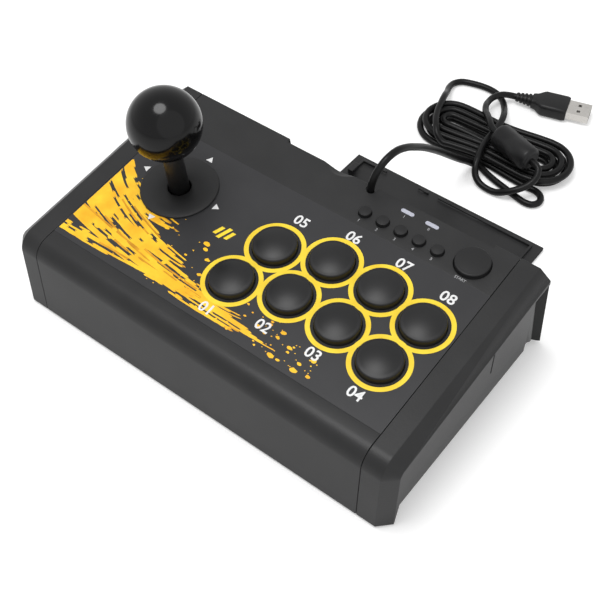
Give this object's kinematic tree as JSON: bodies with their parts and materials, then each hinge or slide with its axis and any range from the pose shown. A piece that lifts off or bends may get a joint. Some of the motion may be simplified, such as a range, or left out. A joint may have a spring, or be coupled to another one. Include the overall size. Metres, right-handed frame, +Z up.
{
  "type": "arcade fight stick",
  "caption": "Tabletop arcade fight stick: sloping box, ball-top lever, round action buttons, small function buttons, rear cable bay with fold-down door and a USB cord.",
  "frame": {"origin": "centre of the footprint of the box with its open rear door, at floor level under the feet", "axes": "+X to the player's right, +Y away from the player, +Z up"},
  "size_m": [0.2224, 0.2995, 0.1132],
  "materials": {
    "body_shell": "fine textured charcoal moulding",
    "base_plastic": "dark grey moulding",
    "panel_print": "satin printed film with black and golden artwork",
    "rubber": "matt rubber",
    "steel": "plain steel",
    "button_plastic": "gloss black moulding",
    "silicone": "grey silicone sheet",
    "circuit_board": "green circuit board",
    "lens": "clear moulded light window",
    "cord_jacket": "dark grey cord jacket",
    "ferrite_plastic": "dark grey moulding",
    "usb_tongue": "off-white insulator"
  },
  "bodies": {
    "base": {"base_tray": "base_plastic", "top_shell": "body_shell", "deck_overlay": "panel_print", "end_cap_left": "body_shell", "end_cap_right": "body_shell", "cable_bay": "base_plastic", "door_hinge_pin": "steel", "rubber_feet": "rubber", "case_screws": "steel", "button_bezels": "button_plastic", "button_domes": "silicone", "button_board": "circuit_board", "board_screws": "steel", "small_domes": "silicone", "small_board": "circuit_board", "led_lenses": "lens", "main_board": "circuit_board", "stick_bracket": "base_plastic", "gate_plate": "button_plastic", "stick_switches": "button_plastic", "switch_levers": "steel", "stick_spring": "steel", "cord_grommet": "rubber", "cord_lead": "cord_jacket", "cord_hank": "cord_jacket", "cord_wraps": "cord_jacket", "cord_tail": "cord_jacket", "ferrite_bead": "ferrite_plastic", "usb_overmold": "ferrite_plastic", "usb_shell": "steel", "usb_tongue": "usb_tongue"},
    "rear_door": {"rear_door": "body_shell"},
    "gimbal": {"gimbal_ring": "steel"},
    "stick": {"stick_shaft": "steel", "shaft_sleeve": "button_plastic", "ball_knob": "button_plastic", "actuator": "button_plastic", "shaft_clip": "steel"},
    "slide_washer": {"slide_washer": "button_plastic"},
    "dust_washer": {"dust_washer": "button_plastic"},
    "button_1": {"button_cap_1": "button_plastic"},
    "button_2": {"button_cap_2": "button_plastic"},
    "button_3": {"button_cap_3": "button_plastic"},
    "button_4": {"button_cap_4": "button_plastic"},
    "button_5": {"button_cap_5": "button_plastic"},
    "button_6": {"button_cap_6": "button_plastic"},
    "button_7": {"button_cap_7": "button_plastic"},
    "button_8": {"button_cap_8": "button_plastic"},
    "small_button_1": {"small_button_1": "button_plastic"},
    "small_button_2": {"small_button_2": "button_plastic"},
    "small_button_3": {"small_button_3": "button_plastic"},
    "small_button_4": {"small_button_4": "button_plastic"},
    "small_button_5": {"small_button_5": "button_plastic"},
    "start_button": {"start_button": "button_plastic"}
  },
  "joints": [
    {"name": "rear_door_hinge", "type": "hinge", "parent": "base", "child": "rear_door", "pos_m": [0, 0.03857, 0.00295], "axis": [1, 0, 0], "range_deg": [0, 100.1]},
    {"name": "button_1_press", "type": "slide", "parent": "base", "child": "button_1", "axis": [0, 0.1045, -0.9945], "range_m": [0, 0.0024], "stiffness_N_per_m": 150, "springref_m": -0.002, "deforming": ["button_domes"]},
    {"name": "button_2_press", "type": "slide", "parent": "base", "child": "button_2", "axis": [0, 0.1045, -0.9945], "range_m": [0, 0.0024], "stiffness_N_per_m": 150, "springref_m": -0.002, "deforming": ["button_domes"]},
    {"name": "button_3_press", "type": "slide", "parent": "base", "child": "button_3", "axis": [0, 0.1045, -0.9945], "range_m": [0, 0.0024], "stiffness_N_per_m": 150, "springref_m": -0.002, "deforming": ["button_domes"]},
    {"name": "button_4_press", "type": "slide", "parent": "base", "child": "button_4", "axis": [0, 0.1045, -0.9945], "range_m": [0, 0.0024], "stiffness_N_per_m": 150, "springref_m": -0.002, "deforming": ["button_domes"]},
    {"name": "button_5_press", "type": "slide", "parent": "base", "child": "button_5", "axis": [0, 0.1045, -0.9945], "range_m": [0, 0.0024], "stiffness_N_per_m": 150, "springref_m": -0.002, "deforming": ["button_domes"]},
    {"name": "button_6_press", "type": "slide", "parent": "base", "child": "button_6", "axis": [0, 0.1045, -0.9945], "range_m": [0, 0.0024], "stiffness_N_per_m": 150, "springref_m": -0.002, "deforming": ["button_domes"]},
    {"name": "button_7_press", "type": "slide", "parent": "base", "child": "button_7", "axis": [0, 0.1045, -0.9945], "range_m": [0, 0.0024], "stiffness_N_per_m": 150, "springref_m": -0.002, "deforming": ["button_domes"]},
    {"name": "button_8_press", "type": "slide", "parent": "base", "child": "button_8", "axis": [0, 0.1045, -0.9945], "range_m": [0, 0.0024], "stiffness_N_per_m": 150, "springref_m": -0.002, "deforming": ["button_domes"]},
    {"name": "small_button_1_press", "type": "slide", "parent": "base", "child": "small_button_1", "axis": [0, 0.1045, -0.9945], "range_m": [0, 0.0008], "stiffness_N_per_m": 400, "springref_m": -0.001, "deforming": ["small_domes"]},
    {"name": "small_button_2_press", "type": "slide", "parent": "base", "child": "small_button_2", "axis": [0, 0.1045, -0.9945], "range_m": [0, 0.0008], "stiffness_N_per_m": 400, "springref_m": -0.001, "deforming": ["small_domes"]},
    {"name": "small_button_3_press", "type": "slide", "parent": "base", "child": "small_button_3", "axis": [0, 0.1045, -0.9945], "range_m": [0, 0.0008], "stiffness_N_per_m": 400, "springref_m": -0.001, "deforming": ["small_domes"]},
    {"name": "small_button_4_press", "type": "slide", "parent": "base", "child": "small_button_4", "axis": [0, 0.1045, -0.9945], "range_m": [0, 0.0008], "stiffness_N_per_m": 400, "springref_m": -0.001, "deforming": ["small_domes"]},
    {"name": "small_button_5_press", "type": "slide", "parent": "base", "child": "small_button_5", "axis": [0, 0.1045, -0.9945], "range_m": [0, 0.0008], "stiffness_N_per_m": 400, "springref_m": -0.001, "deforming": ["small_domes"]},
    {"name": "start_button_press", "type": "slide", "parent": "base", "child": "start_button", "axis": [0, 0.1045, -0.9945], "range_m": [0, 0.0008], "stiffness_N_per_m": 400, "springref_m": -0.001, "deforming": ["small_domes"]},
    {"name": "stick_tilt_fore_aft", "type": "hinge", "parent": "base", "child": "gimbal", "pos_m": [-0.06231, -0.02223, 0.03181], "axis": [1, 0, 0], "range_deg": [-12, 12], "stiffness_Nm_per_rad": 1.6, "deforming": ["stick_spring", "switch_levers"]},
    {"name": "stick_tilt_side", "type": "hinge", "parent": "gimbal", "child": "stick", "pos_m": [-0.06231, -0.02223, 0.03181], "axis": [0, 0.9945, 0.1045], "range_deg": [-12, 12], "stiffness_Nm_per_rad": 1.6, "deforming": ["stick_spring", "switch_levers"]},
    {"name": "slide_washer_side", "type": "slide", "parent": "base", "child": "slide_washer", "axis": [1, 0, 0], "range_m": [-0.00452, 0.00452]},
    {"name": "dust_washer_fore_aft", "type": "slide", "parent": "slide_washer", "child": "dust_washer", "axis": [0, 0.9945, 0.1045], "range_m": [-0.00452, 0.00452]}
  ],
  "couplings": [
    {"joint": "slide_washer_side", "follows": "stick_tilt_side", "m_per_rad": 0.02096},
    {"joint": "dust_washer_fore_aft", "follows": "stick_tilt_fore_aft", "m_per_rad": -0.02096}
  ]
}
